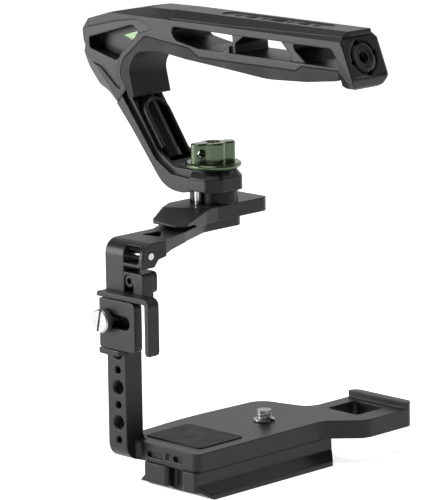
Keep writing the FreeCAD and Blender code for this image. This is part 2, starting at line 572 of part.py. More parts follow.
def cover_outline_prism():
    """Plan outline of the cover, with its mitred rear end."""
    return slab_z([(HANDLE_LEFT_X - 1, COVER_FRONT_Y), (HANDLE_LEFT_X - 1, COVER_REAR_Y + 1),
                   (HANDLE_LEFT_X, COVER_REAR_Y + 0.6), (HANDLE_LEFT_X + TOP_BEVEL, COVER_REAR_Y - 2.6),
                   (HANDLE_RIGHT_X - TOP_BEVEL, COVER_REAR_Y - 2.6), (HANDLE_RIGHT_X, COVER_REAR_Y + 0.6),
                   (HANDLE_RIGHT_X + 1, COVER_REAR_Y + 1), (HANDLE_RIGHT_X + 1, COVER_FRONT_Y)], 150, 210)


def cover_hole_places():
    """Accessory holes along the cover: (y, tap radius), small locating holes between large ones."""
    return [(-4.2, 1.5), (-11.7, QUARTER_INCH_TAP_R), (-19.2, 1.5), (-26.7, 4.0), (-34.2, 1.5),
            (-41.7, QUARTER_INCH_TAP_R), (-49.2, 1.5)]


def handle_cover():
    """Accessory rail let into the top of the handle."""
    section = [(COVER_FRONT_Y, SEAM_FRONT_Z), (COVER_FRONT_Y, HANDLE_TOP - 0.5), (COVER_FRONT_Y - 0.5, HANDLE_TOP),
               (-90, HANDLE_TOP),
               (-90, SEAM_REAR_Z + 1), (COVER_REAR_Y, SEAM_REAR_Z)]
    cover = slab_x(section, HANDLE_LEFT_X, HANDLE_RIGHT_X).common(cover_outline_prism())
    cover = handle_side_bevel(cover)
    groove = [(COVER_FRONT_Y + 1, SEAM_FRONT_Z), (COVER_FRONT_Y + 1, SEAM_FRONT_Z + SEAM_GROOVE),
              (-90, SEAM_REAR_Z + 0.4 + SEAM_GROOVE), (-90, SEAM_REAR_Z + 0.4)]
    for x0, x1 in ((HANDLE_LEFT_X - 1, HANDLE_LEFT_X + 0.9), (HANDLE_RIGHT_X - 0.9, HANDLE_RIGHT_X + 1)):
        cover = cover.cut(slab_x(groove, x0, x1))
    cover = cover.cut(slab_z(cover_groove_outline(), HANDLE_TOP - 0.5, HANDLE_TOP + 1))
    for y, radius in cover_hole_places():
        cover = cover.cut(rod((FOOT_X, y, 185), (0, 0, 1), radius, 12))
        cover = cover.cut(taper((FOOT_X, y, HANDLE_TOP - 0.5), (0, 0, -1), radius + 0.5, radius, 0.5))
    return cover


def cover_groove_outline():
    """Corners of the long shallow groove that the accessory holes lie in."""
    half, side = 31.0, 4.3
    middle = -26.7
    return [(FOOT_X - side, middle - half, side * 0.98), (FOOT_X + side, middle - half, side * 0.98),
            (FOOT_X + side, middle + half, side * 0.98), (FOOT_X - side, middle + half, side * 0.98)]


def grip_pad():
    """Rubber grip under the frame, running round the inner corner and down the neck."""
    outline = [(-71.4, 177.1, 0.5), (-71.8, 173.2, 2), (-53.6, 170.9, 60), (-31.4, 169.7, 60), (-8.1, 171.5, 60),
               (17.4, 173.2, 40), (33.0, 175.0, 20), (47.5, 173.2, 8), (52.0, 165.5, 7), (49.0, 153.4, 0.5),
               (52.6, 153.4), (53.7, 156.1), (58.0, 163.6, 6), (54.9, 169.6, 4), (41.9, 180.6, 4), (15.1, 178.0, 1),
               (9.5, 174.7, 1), (-47.2, 174.8, 1), (-50.7, 177.0, 1)]
    return slab_x(outline, HANDLE_LEFT_X, HANDLE_RIGHT_X)


def neck_direction():
    """Top point and unit direction of the neck's rear face, in the (y, z) plane."""
    top = (52.9, 157.2)
    foot = (35.2, 132.1)
    length = math.hypot(foot[0] - top[0], foot[1] - top[1])
    return top, ((foot[0] - top[0]) / length, (foot[1] - top[1]) / length)


def neck_tenon_shape(clearance):
    """Tenon by which the neck stands in the frame."""
    return slab_x([(55.4, 152.0), (60.0, 151.6), (63.0, 158.0), (58.9, 160.6)], HANDLE_LEFT_X + 5 - clearance,
                  HANDLE_RIGHT_X - 5 + clearance)


def handle_neck():
    """Raked arm and foot, with recessed sides and a channel with a rounded spine down its rear face."""
    outline = [(53.8, 156.2), (52.7, 153.2), (36.6, 131.0, 9), (27.0, FOOT_TOP, 8), (FOOT_Y, FOOT_TOP),
               (FOOT_Y, FOOT_BOTTOM), (20.0, FOOT_BOTTOM - 1.6, 14), (31.0, 116.0, 16), (50.7, 139.9, 60),
               (59.8, 149.8)]
    neck = slab_x(outline, HANDLE_LEFT_X, HANDLE_RIGHT_X)
    neck = neck.fuse(rod((FOOT_X, FOOT_Y, FOOT_BOTTOM), (0, 0, 1), HANDLE_WIDTH / 2, FOOT_TOP - FOOT_BOTTOM))
    neck = neck.removeSplitter()
    neck = neck.cut(foot_edge_bevel())
    for x0, x1 in ((HANDLE_LEFT_X - 1, HANDLE_LEFT_X + NECK_STEP), (HANDLE_RIGHT_X - NECK_STEP, HANDLE_RIGHT_X + 1)):
        neck = neck.cut(slab_x([(58.6, 156.0), (36.5, 128.0, 10), (27.0, 122.6, 6), (8.0, 121.6), (8.0, 130.0),
                                (22.0, 134.0), (46.0, 158.0)], x0, x1))
    (top_y, top_z), (dir_y, dir_z) = neck_direction()
    out_y, out_z = dir_z, -dir_y
    neck = neck.cut(channel_shape())
    spine_depth = 4.9
    start = (FOOT_X, top_y + dir_y * 4.5 - out_y * spine_depth, top_z + dir_z * 4.5 - out_z * spine_depth)
    spine = rod(start, (0, dir_y, dir_z), 4.6, 30.0)
    bore = rod((start[0], start[1] + dir_y * -2, start[2] + dir_z * -2), (0, dir_y, dir_z), 1.8, 29.0)
    neck = neck.fuse(spine).fuse(neck_tenon_shape(0.0)).cut(bore)
    neck = neck.cut(spigot_prism(0.1, FOOT_BOTTOM - 4, FOOT_BOTTOM))
    neck = neck.cut(rod((FOOT_X, FOOT_Y, 110), (0, 0, 1), STUD_R + 0.4, 30))
    for side_sign in (-1, 1):
        x = FOOT_X + side_sign * PIN_SPACING / 2
        neck = neck.cut(rod((x, FOOT_Y, 110), (0, 0, 1), 1.3, 12.2))
    return neck


def channel_shape():
    """Pocket down the rear face of the neck, round at its top."""
    (top_y, top_z), (dir_y, dir_z) = neck_direction()
    width = 14.6
    depth = 5.4
    length = 36.0
    pocket = box(-width / 2, width / 2, 0, depth + 6, width / 2, length)
    pocket = pocket.fuse(rod((0, 0, width / 2), (0, 1, 0), width / 2, depth + 6))
    angle = math.degrees(math.atan2(-dir_y, -dir_z))
    pocket.rotate(FreeCAD.Vector(0, 0, 0), FreeCAD.Vector(1, 0, 0), 180)
    pocket.rotate(FreeCAD.Vector(0, 0, 0), FreeCAD.Vector(1, 0, 0), -angle)
    out_y, out_z = dir_z, -dir_y
    pocket.translate(FreeCAD.Vector(FOOT_X, top_y + dir_y * 1.2 - out_y * depth, top_z + dir_z * 1.2 - out_z * depth))
    return pocket


def foot_edge_bevel():
    """Wedges that bevel the upper edges of the foot on both sides and round its end."""
    ring = rod((FOOT_X, FOOT_Y, FOOT_TOP - 4.2), (0, 0, 1), 20, 6)
    cone = taper((FOOT_X, FOOT_Y, FOOT_TOP - 4.2), (0, 0, 1), HANDLE_WIDTH / 2, HANDLE_WIDTH / 2 - 1.7, 4.2)
    cone = cone.fuse(rod((FOOT_X, FOOT_Y, FOOT_TOP), (0, 0, 1), HANDLE_WIDTH / 2 - 1.7, 3))
    half = box(FOOT_X - 20, FOOT_X + 20, FOOT_Y - 20, FOOT_Y, FOOT_TOP - 5, FOOT_TOP + 3)
    return ring.cut(cone).common(half)


def neck_bolt():
    """Long bolt in the neck's spine, its silver end showing in the channel."""
    (top_y, top_z), (dir_y, dir_z) = neck_direction()
    out_y, out_z = dir_z, -dir_y
    depth = 4.9
    start = (FOOT_X, top_y + dir_y * 3.4 - out_y * depth, top_z + dir_z * 3.4 - out_z * depth)
    return rod(start, (0, dir_y, dir_z), 1.7, 27.0)


def spigot_prism(clearance, z0, z1):
    """Rounded outline of the spigot, 16 mm across and 22 mm long."""
    half_x = 8 + clearance
    half_y = 11 + clearance
    return slab_z([(FOOT_X - half_x, FOOT_Y - half_y, 7.5), (FOOT_X + half_x, FOOT_Y - half_y, 7.5),
                   (FOOT_X + half_x, FOOT_Y + half_y, 7.5), (FOOT_X - half_x, FOOT_Y + half_y, 7.5)], z0, z1)


def foot_spigot():
    """Black spigot between the handle's foot and the platform."""
    spigot = spigot_prism(0.0, PLATFORM_TOP + 0.05, FOOT_BOTTOM)
    return spigot.cut(rod((FOOT_X, FOOT_Y, 100), (0, 0, 1), STUD_R + 0.4, 40))


def locating_pins():
    pins = []
    for side_sign in (-1, 1):
        x = FOOT_X + side_sign * PIN_SPACING / 2
        pins.append(soften(rod((x, FOOT_Y, 109.0), (0, 0, 1), 1.2, 13.0), 0.3, lambda c: c.z < 109.1))
    return pins


def knob():
    """Two-winged knob: flange, hub and wings with a cross hole and a hex socket."""
    flange = rod((FOOT_X, FOOT_Y, FLANGE_BOTTOM), (0, 0, 1), FLANGE_R, FLANGE_TOP - FLANGE_BOTTOM)
    flange = soften(flange, 0.6, lambda c: True)
    hub_r = 5.6
    waist_r = 6.0
    wings = []
    for side_sign in (-1, 1):
        x = side_sign * WING_REACH
        wings.append(rod((x, 0, FLANGE_TOP - 0.5), (0, 0, 1), WING_TIP_R, KNOB_TOP - FLANGE_TOP + 0.5))
    bridge = box(-WING_REACH, WING_REACH, -WING_TIP_R, WING_TIP_R, FLANGE_TOP - 0.5, KNOB_TOP)
    hub = rod((0, 0, FLANGE_TOP - 0.5), (0, 0, 1), hub_r, KNOB_TOP - FLANGE_TOP + 0.5)
    body = hub.fuse(wings + [bridge])
    for side_x in (-1, 1):
        for side_y in (-1, 1):
            x = side_x * 6.9
            y = side_y * (WING_TIP_R + waist_r - 1.9)
            scoop = rod((x, y, FLANGE_TOP - 1), (0, 0, 1), waist_r - 2.4, KNOB_TOP)
            body = body.cut(scoop)
    body = soften(body.removeSplitter(), 0.5, lambda c: c.z > KNOB_TOP - 0.01)
    tommy_hole = rod((-WING_REACH + 0.4, -10, (FLANGE_TOP + KNOB_TOP) / 2), (0, 1, 0), 1.8, 20)
    body = body.cut(tommy_hole)
    body.rotate(FreeCAD.Vector(0, 0, 0), FreeCAD.Vector(0, 0, 1), WING_ANGLE)
    body.translate(FreeCAD.Vector(FOOT_X, FOOT_Y, 0))
    knob_shape = flange.fuse(body)
    knob_shape = knob_shape.cut(taper((FOOT_X, FOOT_Y, KNOB_TOP), (0, 0, -1), 3.3, 2.8, 0.6))
    knob_shape = knob_shape.cut(hex_prism((FOOT_X, FOOT_Y, KNOB_TOP), (0, 0, -1), 4.0, 5.0))
    return knob_shape.cut(rod((FOOT_X, FOOT_Y, FLANGE_BOTTOM), (0, 0, 1), 3.3, 4.0))


def knob_stud():
    """Three-eighths-inch stud that the knob drives into the platform."""
    stud = rod((FOOT_X, FOOT_Y, 106.0), (0, 0, 1), STUD_R, FLANGE_BOTTOM - 106.0)
    stud = soften(stud, 0.8, lambda c: c.z < 106.1)
    groove = rod((FOOT_X, FOOT_Y, 114.0), (0, 0, 1), 8, 0.9).cut(rod((FOOT_X, FOOT_Y, 113), (0, 0, 1), 4.1, 3))
    return stud.fuse(rod((FOOT_X, FOOT_Y, 120), (0, 0, 1), 3.2, 10.2)).cut(groove)


def knob_washer():
    washer = rod((FOOT_X, FOOT_Y, FOOT_TOP), (0, 0, 1), 9.2, WASHER_THICKNESS)
    return washer.cut(rod((FOOT_X, FOOT_Y, FOOT_TOP - 1), (0, 0, 1), STUD_R + 0.4, 5))


def main():
    os.makedirs("parts", exist_ok=True)
    save("cage_frame", cage_frame())
    save("top_platform", top_platform())
    save("platform_screws", *platform_screws())
    save("dovetail_plate", dovetail_plate())
    save("plate_screws", *plate_screws())
    save("camera_screw", camera_screw())
    save("camera_screw_clip", camera_screw_clip())
    save("base_pad", base_pad())
    save("strap_pin", strap_pin())
    save("clamp_bracket", clamp_bracket())
    save("clamp_bracket_screw", clamp_bracket_screw())
    save("clamp_jaw", clamp_jaw())
    save("clamp_screw", clamp_screw())
    save("handle_frame", handle_frame())
    save("handle_neck", handle_neck())
    save("handle_cover", handle_cover())
    save("grip_pad", grip_pad())
    save("rear_insert", rear_insert())
    save("front_insert", front_insert())
    save("neck_bolt", neck_bolt())
    save("foot_spigot", foot_spigot())
    save("locating_pins", *locating_pins())
    save("knob", knob())
    save("knob_stud", knob_stud())
    save("knob_washer", knob_washer())


main()
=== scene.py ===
import math

import bmesh
import bpy
from mathutils import Matrix, Vector


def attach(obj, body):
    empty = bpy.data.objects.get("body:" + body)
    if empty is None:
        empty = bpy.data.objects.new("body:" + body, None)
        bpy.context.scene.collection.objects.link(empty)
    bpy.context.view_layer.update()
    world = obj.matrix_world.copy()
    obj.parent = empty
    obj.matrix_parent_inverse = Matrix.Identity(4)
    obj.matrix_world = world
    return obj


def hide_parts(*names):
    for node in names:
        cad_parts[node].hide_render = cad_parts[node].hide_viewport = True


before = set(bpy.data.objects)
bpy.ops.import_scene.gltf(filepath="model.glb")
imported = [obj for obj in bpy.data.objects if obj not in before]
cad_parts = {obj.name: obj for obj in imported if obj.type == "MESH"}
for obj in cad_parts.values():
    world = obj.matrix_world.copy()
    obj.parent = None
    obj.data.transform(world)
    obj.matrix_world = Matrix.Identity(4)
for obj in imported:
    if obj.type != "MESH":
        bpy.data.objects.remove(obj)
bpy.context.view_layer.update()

bl_info = {
    "name": "Half cage with top handle",
    "version": (1, 0, 0),
    "blender": (4, 5, 0),
    "location": "3D View > Sidebar > Cage",
    "description": "Finishes, threads and studio for a half cage with a top handle",
    "category": "Object",
}

MM = 0.001

# Places in millimetres, in the part's own frame
BAR_LEFT_X = -46.45
BAR_RIGHT_X = -37.05
BAR_HOLE_Y = 24.5
QUARTER_INCH_HEIGHTS = (27.9, 42.9, 57.9)
SMALL_HOLE_HEIGHTS = (20.4, 35.4, 50.4)
QUARTER_INCH_TAP_R = 2.65
QUARTER_INCH_PITCH = 1.27
SMALL_HOLE_R = 1.5
SMALL_HOLE_PITCH = 0.5
THREE_EIGHTHS_TAP_R = 4.0
THREE_EIGHTHS_PITCH = 1.59
HANDLE_X = 19.05
COVER_TOP = 193.0
COVER_BOTTOM = 190.3
COVER_COUNTERSINK = 1.0
COVER_QUARTER_INCH_Y = (8.1, -21.9)
COVER_THREE_EIGHTHS_Y = -6.9
COVER_SMALL_Y = (15.6, 0.6, -14.4, -29.4)
REAR_FACE_CENTRE = Vector((19.05, -55.4, 182.0))
REAR_FACE_LEAN = math.atan2(8.0, 19.0)
CAMERA_SCREW = Vector((19.05, 3.8, 0.0))
CAMERA_THREAD_BOTTOM = 20.7
CAMERA_THREAD_LENGTH = 3.6
CAMERA_THREAD_R = 3.1
GRIP_END = 153.4
GRIP_MARGIN = 0.3
REAR_BLOCK_Y = -51.9
REAR_BOTTOM = 169.3
REAR_CORNER_R = 6.0
REAR_CORNER_STEPS = 6
REAR_THREAD_INSET = 0.4
REAR_THREAD_LENGTH = 3.4
FRAME_HALF_WIDTH = 11.0
NECK_TOP = Vector((19.05, 72.7, 157.2))
NECK_LEAN = math.atan2(17.7, 25.1)
CHANNEL_WIDTH = 14.6
RIM_WIDTH = 1.9
RIM_DEPTH = 3.0
RIM_EDGE = 0.4
RIM_LEG = 17.0
RIM_CENTRE = 13.0
FOOT_Y = 32.3
FOOT_BOTTOM = 116.97
FOOT_HALF_WIDTH = 11.03
FOOT_CORNER_X = 6.2
FOOT_CORNER_Y = 6.4
FOOT_FRONT_Y = 4.0
FOOT_EDGE_R = 1.2
TRAY_SCREW = (-38.9, 1.8, 15.6)
TRAY_SCREW_R = 1.45
TRAY_SCREW_LENGTH = 1.6
TRAY_SCREW_RIM = 0.62
TRAY_SOCKET_DEPTH = 0.8

# Each step of the foot's rim: how far it rises, and what share of its width it keeps
FOOT_STEPS = ((5.2, 1.0), (3.2, 0.8))

# How far threads stay back from the ends of the upright's holes, and the small ones' share of the ridge
LARGE_THREAD_INSET = 0.7
SMALL_THREAD_INSET = 0.4
SMALL_RIDGE_SHARE = 0.6

# The rail is thin, so its threads are finer than the real pitch and still show a full turn
RAIL_QUARTER_INCH_PITCH = QUARTER_INCH_PITCH * 0.6
RAIL_THREE_EIGHTHS_PITCH = THREE_EIGHTHS_PITCH * 0.5

# A ridge's root lies this deep in the wall, and its base is this share of the pitch to each side
THREAD_ROOT_DEPTH = 0.05
THREAD_HALF_BASE = 0.42

# Noise values seldom leave this range
NOISE_LOW = 0.3
NOISE_HIGH = 0.7

# Sizes in the finishes, in metres
CLOUD_SIZE = 0.018
RUBBER_CLOUD_SIZE = 0.01
TOOL_MARK_SIZE = 0.0006
TOOL_MARK_HEIGHT = 0.00003
SOFT_EDGE_R = 0.0008
CRISP_EDGE_R = 0.0003

# The photograph's viewpoint, in millimetres, with its turn in degrees
CAMERA_PLACE = Vector((-1070.75, -1066.1, 416.8))
CAMERA_AZIMUTH = 44.75
CAMERA_ELEVATION = 11.93
CAMERA_ROLL = 0.853
CAMERA_LENS = 266.4

# The studio: sizes in metres, places in millimetres
COVE_R = 1.5
FLAG_HALF_SIZE = 0.5
FLAG_PLACE = (750, -750, 150)
STUDIO_MIDDLE = (0, 0, 110)
WORLD_LIGHT = 0.12

# Each lamp: its name, its place and size in millimetres, and the setting that holds its power
LAMPS = (
    ("Side soft box", (-900, 800, 260), (700, 700), "side_power"),
    ("Top soft box", (-60, 60, 1100), (900, 900), "top_power"),
    ("Right strip", (900, -300, 350), (250, 800), "back_power"),
)

# Shades of the floor and backdrop: as rays see them that only light the object, and as the camera sees them
FLOOR_GREY = 0.7
PAPER_WHITE = 0.86
PAPER_GLOW = 0.82


class CageFinish(bpy.types.PropertyGroup):
    """Colours and surface sizes of the cage's finishes."""

    charcoal: bpy.props.FloatVectorProperty(
        name="Charcoal", description="Colour of the anodised frame", subtype="COLOR", size=3,
        min=0.0, max=1.0, default=(0.011, 0.011, 0.0125))
    black: bpy.props.FloatVectorProperty(
        name="Black", description="Colour of the spigot under the foot", subtype="COLOR", size=3,
        min=0.0, max=1.0, default=(0.006, 0.007, 0.008))
    olive: bpy.props.FloatVectorProperty(
        name="Olive", description="Colour of the winged knob", subtype="COLOR", size=3,
        min=0.0, max=1.0, default=(0.085, 0.115, 0.07))
    rubber: bpy.props.FloatVectorProperty(
        name="Rubber", description="Colour of the grip and the base pad", subtype="COLOR", size=3,
        min=0.0, max=1.0, default=(0.012, 0.012, 0.014))
    grip_roundness: bpy.props.FloatProperty(
        name="Grip roundness", description="Radius of the grip's edges", subtype="DISTANCE",
        min=0.0001, max=0.003, default=0.0014)
    blast_grain: bpy.props.FloatProperty(
        name="Blast grain", description="Size of the bead-blasted grain", subtype="DISTANCE",
        min=0.0001, max=0.002, default=0.0004)


class CageThreads(bpy.types.PropertyGroup):
    """Depth and fineness of the thread ridges."""

    depth: bpy.props.FloatProperty(
        name="Depth", description="How far a thread stands into its hole", subtype="DISTANCE",
        min=0.0001, max=0.001, default=0.0003)
    steps: bpy.props.IntProperty(
        name="Steps", description="Segments in one turn of a thread", min=12, max=64, default=28)


class CageStudio(bpy.types.PropertyGroup):
    """Floor and lamps."""

    floor_size: bpy.props.FloatProperty(
        name="Floor size", description="Width of the floor", subtype="DISTANCE",
        min=1.0, max=20.0, default=8.0)
    side_power: bpy.props.FloatProperty(
        name="Side lamp", description="Power of the soft box at the left", unit="POWER",
        min=0.0, max=500.0, default=16.0)
    top_power: bpy.props.FloatProperty(
        name="Top lamp", description="Power of the soft box overhead", unit="POWER",
        min=0.0, max=500.0, default=9.0)
    back_power: bpy.props.FloatProperty(
        name="Back lamp", description="Power of the strip at the right", unit="POWER",
        min=0.0, max=500.0, default=2.0)


def new_material(name):
    """Material with an empty node tree, its Principled shader and its Object coordinates."""
    material = bpy.data.materials.new(name)
    material.use_nodes = True
    tree = material.node_tree
    tree.nodes.clear()
    output = tree.nodes.new("ShaderNodeOutputMaterial")
    shader = tree.nodes.new("ShaderNodeBsdfPrincipled")
    tree.links.new(shader.outputs["BSDF"], output.inputs["Surface"])
    coordinates = tree.nodes.new("ShaderNodeTexCoord")
    return material, tree, shader, coordinates.outputs["Object"]


def noise(tree, vector, size, detail=3.0):
    """Noise whose grains are about that size in metres."""
    node = tree.nodes.new("ShaderNodeTexNoise")
    node.inputs["Scale"].default_value = 1.0 / size
    node.inputs["Detail"].default_value = detail
    tree.links.new(vector, node.inputs["Vector"])
    return node.outputs["Fac"]


def between(tree, factor, low, high):
    """Factor spread over the range from low to high."""
    node = tree.nodes.new("ShaderNodeMapRange")
    node.inputs["From Min"].default_value = NOISE_LOW
    node.inputs["From Max"].default_value = NOISE_HIGH
    node.inputs["To Min"].default_value = low
    node.inputs["To Max"].default_value = high
    tree.links.new(factor, node.inputs["Value"])
    return node.outputs["Result"]


def tint(tree, factor, colour, spread):
    """The colour, a little darker and lighter with the factor."""
    ramp = tree.nodes.new("ShaderNodeValToRGB")
    ramp.color_ramp.elements[0].position = NOISE_LOW
    ramp.color_ramp.elements[1].position = NOISE_HIGH
    ramp.color_ramp.elements[0].color = (*[c * (1 - spread) for c in colour], 1)
    ramp.color_ramp.elements[1].color = (*[min(1, c * (1 + spread)) for c in colour], 1)
    tree.links.new(factor, ramp.inputs["Fac"])
    return ramp.outputs["Color"]


def bump(tree, height, distance, strength, edge_radius):
    """Bump over edges that catch the light as if they were rounded to the radius."""
    node = tree.nodes.new("ShaderNodeBump")
    node.inputs["Distance"].default_value = distance
    node.inputs["Strength"].default_value = strength
    tree.links.new(height, node.inputs["Height"])
    edges = tree.nodes.new("ShaderNodeBevel")
    edges.samples = 6
    edges.inputs["Radius"].default_value = edge_radius
    tree.links.new(edges.outputs["Normal"], node.inputs["Normal"])
    return node.outputs["Normal"]


def blasted_metal(name, colour, metallic, roughness, shine, grain):
    """Bead-blasted, anodised aluminium: a fine even grain with faint clouding."""
    material, tree, shader, place = new_material(name)
    clouds = noise(tree, place, CLOUD_SIZE, 4.0)
    fine = noise(tree, place, grain, 2.0)
    tree.links.new(tint(tree, clouds, colour, 0.05), shader.inputs["Base Color"])
    tree.links.new(between(tree, fine, roughness - 0.05, roughness + 0.06), shader.inputs["Roughness"])
    tree.links.new(bump(tree, fine, grain * 0.1, 0.25, SOFT_EDGE_R), shader.inputs["Normal"])
    shader.inputs["Metallic"].default_value = metallic
    shader.inputs["Specular IOR Level"].default_value = shine
    return material


def turned_metal(name, colour, roughness, axis_scale):
    """Bright metal with fine tool marks, stretched along the axes with a small scale."""
    material, tree, shader, place = new_material(name)
    mapping = tree.nodes.new("ShaderNodeMapping")
    mapping.inputs["Scale"].default_value = axis_scale
    tree.links.new(place, mapping.inputs["Vector"])
    marks = noise(tree, mapping.outputs["Vector"], TOOL_MARK_SIZE, 3.0)
    tree.links.new(tint(tree, marks, colour, 0.12), shader.inputs["Base Color"])
    tree.links.new(between(tree, marks, roughness - 0.06, roughness + 0.1), shader.inputs["Roughness"])
    tree.links.new(bump(tree, marks, TOOL_MARK_HEIGHT, 0.3, CRISP_EDGE_R), shader.inputs["Normal"])
    shader.inputs["Metallic"].default_value = 1.0
    return material


def moulded_rubber(name, colour, grain):
    """Silicone rubber with a fine pebbled skin."""
    material, tree, shader, place = new_material(name)
    pebbles = tree.nodes.new("ShaderNodeTexVoronoi")
    pebbles.inputs["Scale"].default_value = 1.0 / (grain * 2)
    tree.links.new(place, pebbles.inputs["Vector"])
    clouds = noise(tree, place, RUBBER_CLOUD_SIZE, 4.0)
    tree.links.new(tint(tree, clouds, colour, 0.08), shader.inputs["Base Color"])
    tree.links.new(between(tree, clouds, 0.52, 0.64), shader.inputs["Roughness"])
    skin = bump(tree, pebbles.outputs["Distance"], grain * 0.12, 0.35, SOFT_EDGE_R)
    tree.links.new(skin, shader.inputs["Normal"])
    shader.inputs["Specular IOR Level"].default_value = 0.25
    return material


def finishes():
    """The cage's materials, made once."""
    look = bpy.context.scene.cage_finish
    if "Charcoal anodised" in bpy.data.materials:
        return {material.name: material for material in bpy.data.materials}
    made = [
        blasted_metal("Charcoal anodised", look.charcoal, 0.0, 0.38, 0.3, look.blast_grain),
        blasted_metal("Black anodised", look.black, 0.0, 0.36, 0.2, look.blast_grain),
        blasted_metal("Olive anodised", look.olive, 0.9, 0.2, 0.5, look.blast_grain * 0.5),
        blasted_metal("Black oxide", (0.015, 0.015, 0.017), 0.3, 0.36, 0.4, look.blast_grain),
        turned_metal("Turned steel", (0.36, 0.36, 0.37), 0.36, (1.0, 0.1, 1.0)),
        turned_metal("Polished pin", (0.5, 0.5, 0.51), 0.24, (1.0, 0.05, 1.0)),
        moulded_rubber("Grip rubber", look.rubber, look.blast_grain),
    ]
    return {material.name: material for material in made}


NODE_FINISHES = {
    "Charcoal anodised": ("cage_frame", "top_platform", "dovetail_plate", "clamp_bracket", "clamp_jaw",
                          "handle_frame", "handle_neck", "handle_cover"),
    "Black anodised": ("foot_spigot",),
    "Olive anodised": ("knob", "front_insert"),
    "Black oxide": ("platform_screws", "plate_screws", "clamp_bracket_screw", "knob_washer", "rear_insert"),
    "Turned steel": ("camera_screw", "camera_screw_clip", "clamp_screw", "neck_bolt", "knob_stud"),
    "Polished pin": ("strap_pin", "locating_pins"),
    "Grip rubber": ("grip_pad", "base_pad"),
}


class CAGE_OT_finish_nodes(bpy.types.Operator):
    """Give every machined piece its finish"""

    bl_idname = "cage.finish_nodes"
    bl_label = "Finish the machined pieces"

    def execute(self, context):
        materials = finishes()
        for finish, nodes in NODE_FINISHES.items():
            for node in nodes:
                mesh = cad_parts[node].data
                mesh.materials.clear()
                mesh.materials.append(materials[finish])
        return {"FINISHED"}


def add_piece(name, mesh_maker, finish, body):
    """New mesh object made in millimetres, with its finish, riding on a body."""
    shape = bmesh.new()
    mesh_maker(shape)
    bmesh.ops.transform(shape, matrix=Matrix.Scale(MM, 4), verts=shape.verts)
    bmesh.ops.remove_doubles(shape, verts=shape.verts, dist=1e-7)
    bmesh.ops.recalc_face_normals(shape, faces=shape.faces)
    mesh = bpy.data.meshes.new(name)
    shape.to_mesh(mesh)
    shape.free()
    mesh.materials.append(finishes()[finish])
    piece = bpy.data.objects.new(name, mesh)
    bpy.context.scene.collection.objects.link(piece)
    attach(piece, body)
    return piece


def merged_copy(shape, node):
    """Fill the shape with a CAD node's mesh in millimetres, merged, its flat areas made single faces."""
    shape.from_mesh(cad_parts[node].data)
    bmesh.ops.remove_doubles(shape, verts=shape.verts, dist=1e-6)
    bmesh.ops.transform(shape, matrix=Matrix.Scale(1 / MM, 4), verts=shape.verts)
    bmesh.ops.dissolve_limit(shape, angle_limit=math.radians(0.6), verts=shape.verts[:],
                             edges=shape.edges[:])


def facing(direction):
    """Rotation that turns +Z to the direction."""
    return Vector(direction).to_track_quat("Z", "Y").to_matrix().to_4x4()


def thread(shape, start, direction, radius, ridge, pitch, length):
    """Helical ridge of triangular section; a negative ridge stands inwards from the radius."""
    steps = bpy.context.scene.cage_threads.steps
    root = radius - math.copysign(THREAD_ROOT_DEPTH, ridge)
    half_base = pitch * THREAD_HALF_BASE
    corners = [shape.verts.new((root, 0, -half_base)), shape.verts.new((radius + ridge, 0, 0)),
               shape.verts.new((root, 0, half_base))]
    edges = [shape.edges.new((corners[i], corners[(i + 1) % 3])) for i in range(3)]
    turns = max(1.0, (length - pitch) / pitch)
    count = int(steps * turns)
    bmesh.ops.spin(shape, geom=corners + edges, cent=(0, 0, 0), axis=(0, 0, 1),
                   dvec=(0, 0, pitch * turns / count), angle=math.tau * turns, steps=count,
                   use_duplicate=False)
    own = [vert for vert in shape.verts if not vert.tag]
    open_edges = [edge for edge in shape.edges if edge.is_boundary and not edge.verts[0].tag]
    bmesh.ops.holes_fill(shape, edges=open_edges, sides=4)
    place = Matrix.Translation(Vector(start)) @ facing(direction) @ Matrix.Translation((0, 0, pitch * 0.5))
    bmesh.ops.transform(shape, matrix=place, verts=own)
    for vert in own:
        vert.tag = True


class CAGE_OT_grip_skin(bpy.types.Operator):
    """Mould the grip with rounded edges where the hand holds it"""

    bl_idname = "cage.grip_skin"
    bl_label = "Grip"

    def execute(self, context):
        roundness = context.scene.cage_finish.grip_roundness / MM

        def held(edge):
            """Edge between a side of the grip and the surface that the hand touches."""
            lowest = min(vert.co.z for vert in edge.verts)
            if lowest < GRIP_END + GRIP_MARGIN or len(edge.link_faces) != 2:
                return False
            side, other = sorted(edge.link_faces, key=lambda face: -abs(face.normal.x))
            return abs(side.normal.x) > 0.9 and abs(other.normal.x) < 0.1 and (
                other.normal.z < -0.2 or other.normal.y < -0.5)

        def grip(shape):
            merged_copy(shape, "grip_pad")
            edges = [edge for edge in shape.edges if held(edge)]
            bmesh.ops.bevel(shape, geom=edges, affect="EDGES", offset=roundness, segments=4, profile=0.5,
                            material=-1, clamp_overlap=True)

        piece = add_piece("grip_skin", grip, "Grip rubber", "handle")
        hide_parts("grip_pad")
        return {"FINISHED"}


